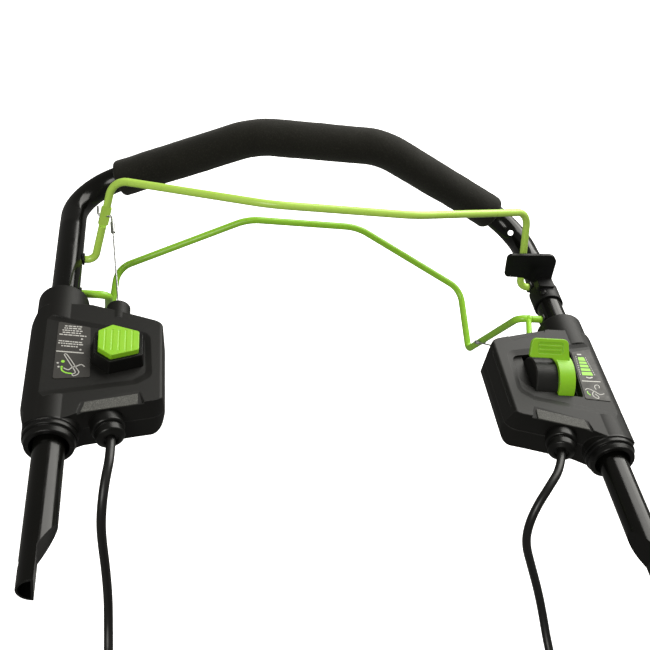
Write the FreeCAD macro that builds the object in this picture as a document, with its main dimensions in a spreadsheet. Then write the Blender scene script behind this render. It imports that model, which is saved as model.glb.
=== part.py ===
"""Upper handle of a cordless, self-propelled, walk-behind lawn mower.

Units are millimetres. Every piece is modelled about the drive bail's pivot line (x across the
handle, y away from the mower deck, z up from the plane of the two side tubes) and is then placed
so that the origin is midway between the two bolt holes that fix the handle to the mower.
"""
import FreeCAD, Part
import math
import os

from FreeCAD import Placement, Rotation, Vector

os.makedirs("parts", exist_ok=True)
doc = FreeCAD.newDocument("mower_handle")

# ------------------------------------------------------------------ driving dimensions
DIMENSIONS = {
    # handle tube
    "tube_dia": 25.4,
    "tube_wall": 1.8,
    "half_width": 239.2,
    "bolt_to_pivot": 296.0,
    "end_beyond_bolt": 20.0,
    "bolt_hole_dia": 8.5,
    "foam_dia": 38.4,
    # bails
    "rod_dia": 7.3,
    "blade_pivot": 50.3,
    "bush_dia": 9.6,
    "bush_flange_dia": 11.6,
    "running_gap": 0.05,
    # control housings
    "housing_half": 21.0,
    "housing_wall": 2.4,
    "ceiling_wall": 3.6,
    "collar_dia": 44.6,
    "collar_recess_dia": 31.6,
    "panel_depth": 1.6,
    # start button
    "button_height": 17.5,
    "button_travel": 4.0,
    # speed lever
    "drum_dia": 43.0,
    "lever_ring_dia": 50.4,
    "axle_dia": 6.0,
    # glands and cables
    "gland_dia": 27.6,
    "cable_dia": 7.6,
    "rest_plane": 150.0,
    "coil_middle_dia": 82.0,
}
sheet = doc.addObject("Spreadsheet::Sheet", "Sizes")
for row, (alias, value) in enumerate(DIMENSIONS.items(), start=1):
    sheet.set(f"A{row}", alias)
    sheet.set(f"B{row}", str(value))
    sheet.setAlias(f"B{row}", alias)
doc.recompute()


def size(alias):
    """Value of one cell of the sheet."""
    return float(sheet.get(alias))


TUBE_R = size("tube_dia") / 2
HALF_WIDTH = size("half_width")
INNER_WALL = HALF_WIDTH - TUBE_R
ROD_R = size("rod_dia") / 2
BLADE_PIVOT = size("blade_pivot")
TOP = size("housing_half")
LEFT, RIGHT = -1, 1
X_AXIS = Vector(1, 0, 0)
Y_AXIS = Vector(0, 1, 0)
Z_AXIS = Vector(0, 0, 1)
FROM_BOLTS = Placement(Vector(0, size("bolt_to_pivot"), 0), Rotation())

pieces = []


# ------------------------------------------------------------------ shape helpers
def feature(label, shape):
    """A piece whose shape comes from Part's functions."""
    piece = doc.addObject("Part::Feature", label)
    piece.Label = label
    piece.Shape = shape
    piece.Placement = FROM_BOLTS.multiply(shape.Placement)
    pieces.append(piece)
    return piece


def rounded_path(corners):
    """Wire through (x, y, z, bend radius) corners, with a tangent arc at each inner corner."""
    points = [Vector(*corner[:3]) for corner in corners]
    edges = []
    start = points[0]
    for before, here, after, corner in zip(points, points[1:], points[2:], corners[1:]):
        arriving = (here - before).normalize()
        leaving = (after - here).normalize()
        half_turn = arriving.getAngle(leaving) / 2
        radius = corner[3]
        arc_start = here - arriving * radius * math.tan(half_turn)
        arc_end = here + leaving * radius * math.tan(half_turn)
        inward = (leaving - arriving).normalize()
        arc_middle = here + inward * radius * (1 / math.cos(half_turn) - 1)
        edges.append(Part.LineSegment(start, arc_start).toShape())
        edges.append(Part.Arc(arc_start, arc_middle, arc_end).toShape())
        start = arc_end
    edges.append(Part.LineSegment(start, points[-1]).toShape())
    return Part.Wire(edges)


def rod(corners, radius):
    """Round bar along a rounded path."""
    path = rounded_path(corners)
    first = path.OrderedEdges[0]
    begin = first.valueAt(first.FirstParameter)
    heading = first.tangentAt(first.FirstParameter)
    circle = Part.Wire(Part.Circle(begin, heading, radius).toShape())
    return path.makePipeShell([circle], True, False)


def mirrored(corners):
    """The same corners on the other side of the mirror plane, in reverse order."""
    return [(-corner[0],) + tuple(corner[1:]) for corner in reversed(corners)]


def outline(corners):
    """Line and arc geometry of a closed polygon of (u, v, corner radius), in the sketch plane."""
    points = [Vector(u, v, 0) for u, v, _ in corners]
    count = len(points)
    joints = []
    for index, (_, _, radius) in enumerate(corners):
        here = points[index]
        arriving = (here - points[index - 1]).normalize()
        leaving = (points[(index + 1) % count] - here).normalize()
        half_turn = arriving.getAngle(leaving) / 2
        reach = radius * math.tan(half_turn)
        inward = leaving - arriving
        inward.normalize()
        middle = here + inward * radius * (1 / math.cos(half_turn) - 1)
        joints.append((here - arriving * reach, middle, here + leaving * reach, radius))
    geometry = []
    for index, (arc_start, middle, arc_end, radius) in enumerate(joints):
        if radius > 0:
            geometry.append(Part.Arc(arc_start, middle, arc_end))
        following = joints[(index + 1) % count][0]
        if (following - arc_end).Length > 1e-6:
            geometry.append(Part.LineSegment(arc_end, following))
    return geometry


def flat_prism(corners, low, high):
    """Prism over an outline in the x-y plane, from z = low to z = high."""
    wire = Part.Wire([curve.toShape() for curve in outline(corners)])
    prism = Part.Face(wire).extrude(Vector(0, 0, high - low))
    return prism.translated(Vector(0, 0, low))


def across(corners, side):
    """Corners given for the right-hand side, moved to the side asked for."""
    return [(u * side, v, radius) for u, v, radius in corners]


def cylinder(radius, length, base, direction):
    return Part.makeCylinder(radius, length, Vector(*base), direction)


def block(x_span, y_span, z_span):
    """Box between the lowest and highest x, y and z."""
    low = Vector(min(x_span), min(y_span), min(z_span))
    return Part.makeBox(abs(x_span[1] - x_span[0]), abs(y_span[1] - y_span[0]),
                        abs(z_span[1] - z_span[0]), low)


def ring(outer, inner, length, base, direction):
    """Plain bush, washer or sleeve."""
    return cylinder(outer, length, base, direction).cut(cylinder(inner, length, base, direction))


def tilted_prism(corners, thickness, origin, u_axis, v_axis):
    """Prism over an outline whose u and v run along the given axes from the given origin."""
    prism = flat_prism(corners, 0, thickness)
    turn = Rotation(u_axis, v_axis, u_axis.cross(v_axis), "ZXY")
    return prism.transformGeometry(Placement(Vector(*origin), turn).toMatrix())


def turned(profile, base, direction):
    """Solid of revolution of (radius, height, corner radius) points about a line."""
    wire = Part.Wire([curve.toShape() for curve in outline(profile)])
    solid = Part.Face(wire).revolve(Vector(), Y_AXIS, 360)
    solid.Placement = Placement(Vector(*base), Rotation(Y_AXIS, direction))
    return solid


def helix_spring(radius, wire_radius, height, turns, base):
    """Compression spring standing on its base, along z."""
    path = Part.makeHelix(height / turns, height, radius)
    start = Vector(radius, 0, 0)
    heading = Vector(0, 2 * math.pi * radius, height / turns)
    circle = Part.Wire(Part.Circle(start, heading, wire_radius).toShape())
    return Part.Wire(path).makePipeShell([circle], True, True).translated(Vector(*base))


class Moulding:
    """A PartDesign body whose sketches lie on its own origin planes."""

    def __init__(self, label):
        self.body = doc.addObject("PartDesign::Body", label)
        self.body.Label = label
        self.body.Placement = FROM_BOLTS
        self.count = 0
        pieces.append(self.body)

    def sketch(self, plane, curves, offset=0.0):
        """Sketch on XY_Plane (u = x, v = y) or XZ_Plane (u = x, v = z, offset towards -y)."""
        self.count += 1
        drawing = self.body.newObject("Sketcher::SketchObject", f"{self.body.Name}_sketch{self.count}")
        origin_plane = next(o for o in self.body.Origin.OriginFeatures if o.Role == plane)
        drawing.AttachmentSupport = [(origin_plane, "")]
        drawing.MapMode = "FlatFace"
        drawing.AttachmentOffset = Placement(Vector(0, 0, offset), Rotation())
        drawing.addGeometry(curves, False)
        return drawing

    def solid(self, kind, drawing, length, backwards=False, midplane=False):
        """Pad or Pocket; a length that is text is an expression on the sheet."""
        self.count += 1
        step = self.body.newObject(f"PartDesign::{kind}", f"{self.body.Name}_{kind}{self.count}")
        step.Profile = drawing
        step.Reversed = backwards
        step.Midplane = midplane
        if isinstance(length, str):
            step.setExpression("Length", length)
        else:
            step.Length = length
        drawing.Visibility = False
        return step

    def turned(self, curves, axis_x, backwards=False):
        """Half a turn of a profile, given as (radius, y), about the line x = axis_x."""
        drawing = self.sketch("XY_Plane", curves)
        drawing.AttachmentOffset = Placement(Vector(axis_x, 0, 0), Rotation())
        step = self.body.newObject("PartDesign::Revolution", f"{self.body.Name}_turned")
        step.Profile = drawing
        step.ReferenceAxis = (drawing, ["V_Axis"])
        step.Angle = 180
        step.Reversed = backwards
        drawing.Visibility = False
        return step

    def bored(self, start, direction, radius, depth):
        """Round hole from a point along a direction that runs towards -y."""
        drawing = self.sketch("XZ_Plane", [circle(0, 0, radius)])
        turn = Rotation(Z_AXIS, Vector(direction.x, direction.z, -direction.y))
        drawing.AttachmentOffset = Placement(Vector(start.x, start.z, -start.y), turn)
        self.pocket(drawing, depth, backwards=True)

    def pad(self, drawing, length, backwards=False, midplane=False):
        return self.solid("Pad", drawing, length, backwards, midplane)

    def pocket(self, drawing, length, backwards=False, midplane=False):
        return self.solid("Pocket", drawing, length, backwards, midplane)


def circle(u, v, radius):
    return Part.Circle(Vector(u, v, 0), Z_AXIS, radius)


# ------------------------------------------------------------------ handle tube and foam grip
CORNER_BEND = 45.0
GRIP_BEND = 75.0
SIDE_END = -(size("bolt_to_pivot") + size("end_beyond_bolt"))
RIGHT_HALF = [
    (65.5, 155.6, 87.1, GRIP_BEND),
    (HALF_WIDTH, 168.8, -7.1, CORNER_BEND),
    (HALF_WIDTH, 95.0, 0.0, CORNER_BEND),
    (HALF_WIDTH, SIDE_END, 0.0, 0.0),
]
HANDLE_PATH = mirrored(RIGHT_HALF) + RIGHT_HALF
CRUSH_START = -260.0
CRUSH_END = -286.0
CROSS_HOLE = Vector(230.5, 145.5, -1.5)
CROSS_HOLE_AXIS = Vector(0.36, 0.76, -0.54).normalize()
SCREW_R = 1.4
SCREW_HEAD_R = 3.2
SLEEVE_R = 14.8
BRACKET_OUT = Vector(-math.sin(math.radians(33)), 0, math.cos(math.radians(33)))
BRACKET_SCREW = Vector(HALF_WIDTH, 27.5, 0) + BRACKET_OUT * SLEEVE_R


def crush_cut(side, wall):
    """What the press takes off the inner side of a tube end, with the wall's thickness left on."""
    flat = HALF_WIDTH + wall
    corners = [
        (INNER_WALL - 20, CRUSH_START, 0),
        (INNER_WALL - 1 + wall, CRUSH_START, 0),
        (flat, CRUSH_END, 0),
        (flat, SIDE_END - 5, 0),
        (INNER_WALL - 20, SIDE_END - 5, 0),
    ]
    return flat_prism(across(corners, side), -20, 20)


def handle_tube():
    outside = rod(HANDLE_PATH, TUBE_R)
    inside = rod(HANDLE_PATH, TUBE_R - size("tube_wall"))
    for side in (LEFT, RIGHT):
        outside = outside.cut(crush_cut(side, 0.0))
        inside = inside.cut(crush_cut(side, size("tube_wall")))
    tube = outside.cut(inside)
    bolt = cylinder(size("bolt_hole_dia") / 2, 2 * HALF_WIDTH + 60,
                    (-HALF_WIDTH - 30, -size("bolt_to_pivot"), 0), X_AXIS)
    tube = tube.cut(bolt)
    for side in (LEFT, RIGHT):
        for pivot_y in (0.0, BLADE_PIVOT):
            start_x = side * (INNER_WALL - 5)
            hole = cylinder(size("bush_dia") / 2, 15, (start_x, pivot_y, 0), X_AXIS * side)
            tube = tube.cut(hole)
    screw_hole = cylinder(SCREW_R + size("running_gap"), 8, tuple(BRACKET_SCREW), -BRACKET_OUT)
    cross_hole = cylinder(3.0, 60, tuple(CROSS_HOLE - CROSS_HOLE_AXIS * 30), CROSS_HOLE_AXIS)
    feature("handle_tube", tube.cut(screw_hole).cut(cross_hole))


def foam_grip():
    """Foam sleeve: its right-hand end sits a little further round the corner than its left."""
    left_half = [(-197.0, 165.6, 15.8, 0.0), (-65.5, 155.6, 87.1, GRIP_BEND)]
    right_half = [(65.5, 155.6, 87.1, GRIP_BEND), (198.0, 165.7, 15.2, CORNER_BEND),
                  (209.4, 164.3, 9.0, 0.0)]
    outside = rod(left_half + right_half, size("foam_dia") / 2)
    feature("foam_grip", outside.cut(rod(HANDLE_PATH, TUBE_R)))


def bail_bushes(label, pivot_y):
    """Flanged bushes in the inner walls of the side tubes, one for each end of a bail."""
    bushes = []
    bore = ROD_R + size("running_gap")
    for side in (LEFT, RIGHT):
        flange_face = (side * (INNER_WALL - 1.6), pivot_y, 0)
        neck_face = (side * (INNER_WALL - 0.2), pivot_y, 0)
        flange = cylinder(size("bush_flange_dia") / 2, 1.4, flange_face, X_AXIS * side)
        neck = cylinder(size("bush_dia") / 2 - 0.1, 6.0, neck_face, X_AXIS * side)
        through = cylinder(bore, 12, flange_face, X_AXIS * side)
        bushes.append(flange.fuse(neck).cut(through))
    feature(label, Part.makeCompound(bushes))


# ------------------------------------------------------------------ bails
STUB_END = INNER_WALL + 4.5
EYE_ON_BLADE_BAIL = Vector(-208.0, 59.0, 46.6)
EYE_ON_DRIVE_BAIL = Vector(201.0, 61.5, -90.75)
WIRE_MOUTH_START = Vector(-191.0, -31.0, 12.0)
WIRE_MOUTH_SPEED = Vector(173.0, -50.0, 4.0)
HOOK_R = 1.2
HOOK_INSIDE = 6.5
WIRE_R = 0.8


def blade_bail():
    """Upper bail: two legs that rise from the side tubes and a cross bar that bows upwards."""
    right = [
        (66.0, -0.6, 115.6, 60.0),
        (202.2, 65.7, 82.9, 20.0),
        (215.5, BLADE_PIVOT, 0.0, 9.0),
        (STUB_END, BLADE_PIVOT, 0.0, 0.0),
    ]
    bar = rod(mirrored(right) + right, ROD_R)
    along_leg = Vector(-215.5, BLADE_PIVOT, 0) - Vector(-202.2, 65.7, 82.9)
    along_leg.normalize()
    flattened = block((-6, 6), (-5.2, 5.2), (-11, 11))
    cheeks = flattened.cut(block((-1.6, 1.6), (-6, 6), (-12, 12)))
    turn = Rotation(Z_AXIS, along_leg)
    cheeks.Placement = Placement(EYE_ON_BLADE_BAIL, turn)
    bar = bar.cut(cheeks)
    ears = block((-1.6, 1.6), (-4.6, 4.6), (-9, 9))
    ears.Placement = Placement(EYE_ON_BLADE_BAIL, turn)
    eye = cylinder(HOOK_R + 0.25, 14, tuple(EYE_ON_BLADE_BAIL - X_AXIS * 7), X_AXIS)
    feature("blade_bail", bar.fuse(ears).cut(eye).removeSplitter())


def drive_bail():
    """Lower bail: it drops below the tubes, and its cross bar follows the shape of the grip."""
    right = [
        (60.1, 155.3, -16.2, 55.0),
        (193.6, 142.9, -84.6, 22.0),
        (200.0, 82.0, -121.0, 7.0),
        (200.5, 0.0, 0.0, 9.0),
        (STUB_END, 0.0, 0.0, 0.0),
    ]
    bar = rod(mirrored(right) + right, ROD_R)
    tab = cylinder(2.8, 50.0, (211.5, 0, 0), Vector(-0.3, -1, 0.17))
    weld = Part.makeSphere(4.4, Vector(211.5, -1.0, 0.2))
    eye_through = cylinder(HOOK_R + 0.25, 14, tuple(EYE_ON_DRIVE_BAIL - X_AXIS * 7), X_AXIS)
    feature("drive_bail", bar.fuse([tab, weld]).cut(eye_through).removeSplitter())


def wire_direction(eye, mouth, side):
    toward = mouth - (eye - X_AXIS * side * HOOK_INSIDE)
    return toward.normalize()


def pull_wire(label, eye, mouth, side, beyond):
    """Hooked wire from a bail's eye into a housing's mouth, with the ferrule that closes it."""
    inner_side = eye - X_AXIS * side * HOOK_INSIDE
    outer_side = eye + X_AXIS * side * 6.0
    toward = wire_direction(eye, mouth, side)
    reach = (mouth - inner_side).Length + beyond
    crimp_start = inner_side + toward * 9
    curl = [
        tuple(outer_side - toward * 8 + Vector(0, 0, 2)) + (0.0,),
        tuple(outer_side) + (2.6,),
        tuple(inner_side) + (2.6,),
        tuple(crimp_start) + (0.0,),
    ]
    hook = rod(curl, HOOK_R)
    wire = cylinder(WIRE_R, reach - 8, tuple(inner_side + toward * 8), toward)
    ferrule = cylinder(2.1, 11, tuple(inner_side + toward * 7), toward)
    feature(label, hook.fuse([wire, ferrule]).removeSplitter())


# ------------------------------------------------------------------ control housings
PLAN = [
    (148.5, -57.5, 17.0),
    (178.0, -48.5, 10.0),
    (214.0, -38.5, 4.0),
    (258.0, -38.5, 6.0),
    (265.0, -52.0, 10.0),
    (265.0, -147.0, 10.0),
    (261.0, -160.0, 4.0),
    (261.0, -174.0, 3.0),
    (231.0, -174.0, 4.0),
    (214.0, -165.0, 10.0),
    (172.0, -154.0, 14.0),
    (148.5, -148.5, 15.0),
]
SECTION = [
    (152.5, TOP, 3.0),
    (148.5, -6.0, 12.0),
    (151.0, -TOP, 9.0),
    (265.0, -TOP, 18.0),
    (265.0, TOP, 23.0),
]
CAVITY = [
    (151.9, -60.0, 14.0),
    (178.0, -52.0, 8.0),
    (216.0, -42.0, 2.0),
    (223.5, -42.0, 2.0),
    (223.5, -166.0, 2.0),
    (214.0, -161.5, 6.0),
    (172.0, -150.5, 10.0),
    (151.9, -146.0, 12.0),
]
COLLAR_R = size("collar_dia") / 2
COLLAR_RECESS = 172.0
COLLARS = [
    (0.0, -9.0, 0.0),
    (13.6, -9.0, 1.0),
    (COLLAR_R, -15.0, 3.0),
    (COLLAR_R, -174.6, 0.4),
    (COLLAR_R - 0.9, -175.0, 0.2),
    (COLLAR_R - 0.9, -175.8, 0.2),
    (COLLAR_R - 0.3, -176.2, 0.3),
    (COLLAR_R - 0.3, -179.4, 0.8),
    (COLLAR_R - 2.2, -179.8, 0.2),
    (COLLAR_R - 2.2, -180.9, 0.2),
    (COLLAR_R - 1.6, -181.5, 0.3),
    (COLLAR_R - 2.6, -186.0, 1.2),
    (0.0, -186.0, 0.0),
]
SCREW_PLACES = [(160.0, -71.0), (160.0, -136.0), (211.5, -56.0), (217.0, -147.5)]
BOSS_R = 5.4
SCREW_SEAT = -16.5
SCREW_DEPTH = 13.0
CABLE_EXIT = Vector(192.0, -178.4, 4.0)
GLAND_WALL = (-21.9, -18.5)
GLAND_NECK_R = 10.8
SEAM = 0.25
BUTTON_FACE = [
    (206.8, -87.6, 1.5),
    (195.3, -79.6, 1.5),
    (173.0, -86.3, 2.5),
    (173.0, -108.3, 2.5),
    (195.5, -117.0, 1.5),
    (206.5, -108.3, 1.5),
]
BUTTON_CENTRE = (190.5, -98.0)
BEZEL_HOLE = 1.03
BEZEL_SKIRT = 1.14
BEZEL_TOP = 32.0
BUTTON_TOP = 36.5
STEM_R = 4.0
STEM_END = -2.5
CARRIER_TOP = 7.0
SWITCH_Z = -TOP + size("housing_wall") + 5.1
START_PANEL = [(213.8, -66.8, 2.0), (240.8, -61.1, 2.0), (240.8, -130.0, 2.0), (211.4, -126.6, 2.0)]
SPEED_PANEL = [(229.7, -67.9, 1.5), (249.7, -62.4, 1.5), (249.1, -130.5, 1.5), (225.0, -128.2, 1.5)]
TAB_SLOT = (194.6, 204.6)
POT_R = 5.2
DRUM_Y, DRUM_Z = -100.4, 12.0
HUB_X = (179.5, 213.2)
SHELF_TOP = 16.8
WINDOW = [(167.6, -76.5, 8.0), (229.0, -65.0, 2.0), (223.5, -126.4, 2.0), (215.6, -125.3, 0.0),
          (199.4, -125.3, 1.5), (199.4, -121.2, 0.0), (168.5, -113.6, 13.0)]


def grown(corners, centre, factor):
    """An outline scaled about its centre."""
    return [(centre[0] + (u - centre[0]) * factor, centre[1] + (v - centre[1]) * factor, r * factor)
            for u, v, r in corners]


def placed(corners, side):
    """Outline drawn for the right-hand side, moved to the side asked for."""
    return outline(across(corners, side))


BEVEL_CORNER = Vector(172.0, -154.3, 18.3)
BEVEL_ALONG = Vector(43.5, -11.7, 0.6).normalize()
BEVEL_RISE = Vector(0.2535, 0.943, 0.2136)
TRIM_THICKNESS = 1.3


def bevel_axes(side):
    """Axes of the bevel on the front edge of a top face; both keep a right-handed order."""
    along = Vector(BEVEL_ALONG.x, BEVEL_ALONG.y * side, BEVEL_ALONG.z * side)
    normal = BEVEL_ALONG.cross(BEVEL_RISE).normalize()
    normal.x *= side
    return along, normal.cross(along), normal


def bevel_origin(side):
    return Vector(BEVEL_CORNER.x * side, BEVEL_CORNER.y, BEVEL_CORNER.z)


def gland_axis(side):
    """Direction in which a cable leaves its housing, square to the slanting front wall."""
    return Vector(-0.2535 * side, -0.9673, 0).normalize()


def cable_exit(side):
    return Vector(CABLE_EXIT.x * side, CABLE_EXIT.y, CABLE_EXIT.z)


def front_bevel(shell, side):
    """Shallow bevel along the front edge of the top face, where the trim strip lies."""
    region = [(-6.0, -14.0, 0), (51.0, -14.0, 0), (49.0, 1.0, 0), (42.0, 14.0, 0), (-4.0, 14.0, 0)]
    drawing = shell.sketch("XY_Plane", placed(region, side))
    turn = Rotation(*bevel_axes(side), "ZXY")
    drawing.AttachmentOffset = Placement(bevel_origin(side), turn)
    shell.pocket(drawing, 12, backwards=True)


def housing_half(label, side, upper):
    """Outer walls, collars, cavity, tube bore and screw bosses that both controls share."""
    shell = Moulding(label)
    frame = [(140, -30, 0), (140, 30, 0), (275, 30, 0), (275, -30, 0)]
    plan = shell.sketch("XY_Plane", placed(PLAN, side), 0.0 if upper else -SEAM)
    shell.pad(plan, TOP, backwards=not upper)
    around = placed(frame, side) + placed(SECTION, side)
    shell.pocket(shell.sketch("XZ_Plane", around, -20), 400, midplane=True)
    shell.turned(outline(COLLARS), HALF_WIDTH * side, backwards=upper)
    if upper:
        front_bevel(shell, side)
    cavity = shell.sketch("XY_Plane", placed(CAVITY, side))
    wall = size("ceiling_wall") if upper else size("housing_wall")
    shell.pocket(cavity, TOP - wall, backwards=upper)
    bosses = [circle(x * side, y, BOSS_R) for x, y in SCREW_PLACES]
    shell.pad(shell.sketch("XY_Plane", bosses), TOP - wall + 0.5, backwards=not upper)
    recess = circle(HALF_WIDTH * side, 0, size("collar_recess_dia") / 2)
    shell.pocket(shell.sketch("XZ_Plane", [recess], COLLAR_RECESS), 30, backwards=True)
    bore = circle(HALF_WIDTH * side, 0, TUBE_R + size("running_gap"))
    shell.pocket(shell.sketch("XZ_Plane", [bore], -20), 500, midplane=True)
    shank = SCREW_R + (0.05 if upper else 0.35)
    holes = shell.sketch("XY_Plane", [circle(x * side, y, shank) for x, y in SCREW_PLACES])
    shell.pocket(holes, SCREW_DEPTH if upper else 30.0, backwards=upper)
    if not upper:
        heads = [circle(x * side, y, SCREW_HEAD_R + 0.4) for x, y in SCREW_PLACES]
        shell.pocket(shell.sketch("XY_Plane", heads, SCREW_SEAT), 10.0)
    inside_wall = cable_exit(side) + gland_axis(side) * (GLAND_WALL[0] - 3)
    shell.bored(inside_wall, gland_axis(side), GLAND_NECK_R + size("running_gap"), 12.0)
    return shell


def panel_recess(shell, side):
    """Shallow tray in the top face, open towards the outer edge, with a sloping border."""
    rim = [(163.0, -71.0, 10.0), (272.0, -50.0, 0.0), (272.0, -157.0, 0.0), (174.0, -134.0, 8.0),
           (161.0, -124.0, 10.0)]
    floor = [(168.0, -76.0, 7.0), (272.0, -54.0, 0.0), (272.0, -150.0, 0.0), (177.0, -127.5, 5.0),
             (166.5, -119.0, 7.0)]
    shell.pocket(shell.sketch("XY_Plane", placed(rim, side), TOP + 4), 4)
    upper = shell.sketch("XY_Plane", placed(rim, side), TOP + 0.02)
    lower = shell.sketch("XY_Plane", placed(floor, side), TOP - size("panel_depth"))
    cut = shell.body.newObject("PartDesign::SubtractiveLoft", f"{shell.body.Name}_tray")
    cut.Profile = upper
    cut.Sections = [lower]
    cut.Ruled = True


def start_housing_top():
    shell = housing_half("start_housing_top", LEFT, True)
    panel_recess(shell, LEFT)
    boss = circle(WIRE_MOUTH_START.x, 11.0, 10.5)
    shell.pad(shell.sketch("XZ_Plane", [boss], 31.0), 22.0)
    shell.bored(Vector(WIRE_MOUTH_START.x, -29.0, 11.0), -Y_AXIS, 6.0, 34.0)
    toward = wire_direction(EYE_ON_BLADE_BAIL, WIRE_MOUTH_START, LEFT)
    shell.bored(WIRE_MOUTH_START - toward * 8, toward, 4.0, 34.0)
    hole = placed(grown(BUTTON_FACE, BUTTON_CENTRE, BEZEL_SKIRT + 0.02), LEFT)
    shell.pocket(shell.sketch("XY_Plane", hole, TOP + 2), 10)


def start_housing_bottom():
    housing_half("start_housing_bottom", LEFT, False)


def speed_housing_top():
    shell = housing_half("speed_housing_top", RIGHT, True)
    panel_recess(shell, RIGHT)
    beside_drum = HUB_X[0] - 0.6
    shelf = [(167.5, -64.0, 0), (167.5, -122.0, 0), (beside_drum, -122.0, 0), (beside_drum, -64.0, 0)]
    shell.pad(shell.sketch("XY_Plane", outline(shelf), SHELF_TOP - 1.2), 2.4)
    shell.pocket(shell.sketch("XY_Plane", outline(WINDOW), TOP + 2), TOP + 2 - SHELF_TOP)
    through = [(beside_drum, -74.4, 0.0)] + WINDOW[1:6] + [(beside_drum, -116.2, 0.0)]
    shell.pocket(shell.sketch("XY_Plane", outline(through), TOP + 2), 12)
    relief = circle(DRUM_Y, DRUM_Z, size("drum_dia") / 2 + 0.4)
    shell.pocket(shell.sketch("YZ_Plane", [relief], HUB_X[0] - 0.6), 20.5, backwards=True)
    back_strip = [(169.5, -46.0, 0), (172.2, -56.3, 0.6), (209.7, -42.5, 0.6), (212.5, -33.0, 0)]
    shell.pocket(shell.sketch("XY_Plane", outline(back_strip), TOP + 2), 2.6)
    wire_entry(shell)
    slot = [(TAB_SLOT[0], -1, 0), (TAB_SLOT[1], -1, 0), (TAB_SLOT[1], 12.5, 2), (TAB_SLOT[0], 12.5, 2)]
    shell.pocket(shell.sketch("XZ_Plane", outline(slot), 30.0), 25.0, backwards=True)


def wire_entry(shell):
    """Slanting hole where the drive bail's pull wire enters the speed housing."""
    toward = wire_direction(EYE_ON_DRIVE_BAIL, WIRE_MOUTH_SPEED, RIGHT)
    shell.bored(WIRE_MOUTH_SPEED - toward * 12, toward, 3.2, 30.0)


def speed_housing_bottom():
    shell = housing_half("speed_housing_bottom", RIGHT, False)
    wire_entry(shell)
    slot = [(TAB_SLOT[0], 1, 0), (TAB_SLOT[1], 1, 0), (TAB_SLOT[1], -18.0, 2), (TAB_SLOT[0], -18.0, 2)]
    shell.pocket(shell.sketch("XZ_Plane", outline(slot), 30.0), 25.0, backwards=True)
    floor = -TOP + size("housing_wall") - 0.5
    half = size("axle_dia") / 2 + size("running_gap")
    for x, top in ((173.0, 15.3), (217.4, 16.0), (160.0, DRUM_Z - POT_R)):
        post = [(DRUM_Y - 5, floor, 0), (DRUM_Y + 5, floor, 0), (DRUM_Y + 5, top, 1), (DRUM_Y - 5, top, 1)]
        shell.pad(shell.sketch("YZ_Plane", outline(post), x), 3.6)
    bearing = shell.sketch("YZ_Plane", [circle(DRUM_Y, DRUM_Z, half)], 170.0)
    shell.pocket(bearing, 52.0, backwards=True)
    mouth = [(DRUM_Y - half + 0.1, DRUM_Z, 0), (DRUM_Y + half - 0.1, DRUM_Z, 0),
             (DRUM_Y + half - 0.1, 18, 0), (DRUM_Y - half + 0.1, 18, 0)]
    shell.pocket(shell.sketch("YZ_Plane", outline(mouth), 170.0), 52.0, backwards=True)


def housing_screws(label, side):
    """Four self-tapping screws, put in from below."""
    screws = []
    for x, y in SCREW_PLACES:
        head = [(0, 0, 0), (0, 2.2, 0), (1.6, 2.2, 1.0), (SCREW_HEAD_R, 0.9, 0.6), (SCREW_HEAD_R, 0, 0)]
        base = (x * side, y, SCREW_SEAT)
        shank = cylinder(SCREW_R, SCREW_DEPTH - SCREW_SEAT - 2.0, base, Z_AXIS)
        cross = block((-1.7, 1.7), (-0.4, 0.4), (-3, -1.2))
        cross = cross.fuse(block((-0.4, 0.4), (-1.7, 1.7), (-3, -1.2)))
        screw = turned(head, base, -Z_AXIS).fuse(shank).cut(cross.translated(Vector(*base)))
        screws.append(screw.removeSplitter())
    feature(label, Part.makeCompound(screws))


def trim_strip(label, side):
    """Textured strip that lies on the bevel of a top face."""
    strip = [(0.4, 0.4, 0.3), (46.4, 0.4, 0.3), (41.0, 9.0, 0.3), (-2.0, 9.6, 0.3)]
    along, rise, _ = bevel_axes(side)
    origin = bevel_origin(side)
    feature(label, tilted_prism(across(strip, side), TRIM_THICKNESS, origin, along, rise))


def label_panel(label, corners, side):
    """Printed panel let into the tray of a top face."""
    low = TOP - size("panel_depth")
    feature(label, flat_prism(across(corners, side), low, low + 0.5))


# ------------------------------------------------------------------ start button
def button_bezel():
    """Tapered collar round the button, with a skirt that passes through the housing."""
    low = TOP - size("panel_depth")

    def face(factor, z):
        wire = Part.Wire([c.toShape() for c in placed(grown(BUTTON_FACE, BUTTON_CENTRE, factor), LEFT)])
        return wire.translated(Vector(0, 0, z))

    taper = Part.makeLoft([face(1.28, low), face(1.19, BEZEL_TOP - 1), face(1.17, BEZEL_TOP)], True, True)
    skirt = Part.Face(face(BEZEL_SKIRT, low - 7)).extrude(Vector(0, 0, 8))
    hole = Part.Face(face(BEZEL_HOLE, low - 8)).extrude(Vector(0, 0, 30))
    feature("start_button_bezel", taper.fuse(skirt).cut(hole).removeSplitter())


def start_button():
    """Hexagonal push button with grip grooves, and the stem that works the switch below it."""
    top = BUTTON_TOP
    low = top - size("button_height")
    cap = flat_prism(across(BUTTON_FACE, LEFT), low, top)
    rim = [edge for edge in cap.Edges if abs(edge.CenterOfMass.z - top) < 1e-6]
    cap = cap.makeFillet(0.7, rim)
    for x in (-201.0, -195.2, -189.6, -184.0, -178.6):
        groove = cylinder(1.5, 25, (x, -111, top + 1.2), Y_AXIS)
        cap = cap.cut(groove)
    x, y = -BUTTON_CENTRE[0], BUTTON_CENTRE[1]
    stem = cylinder(STEM_R, low - STEM_END + 1, (x, y, STEM_END), Z_AXIS)
    feature("start_button", cap.fuse(stem).removeSplitter())


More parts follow.
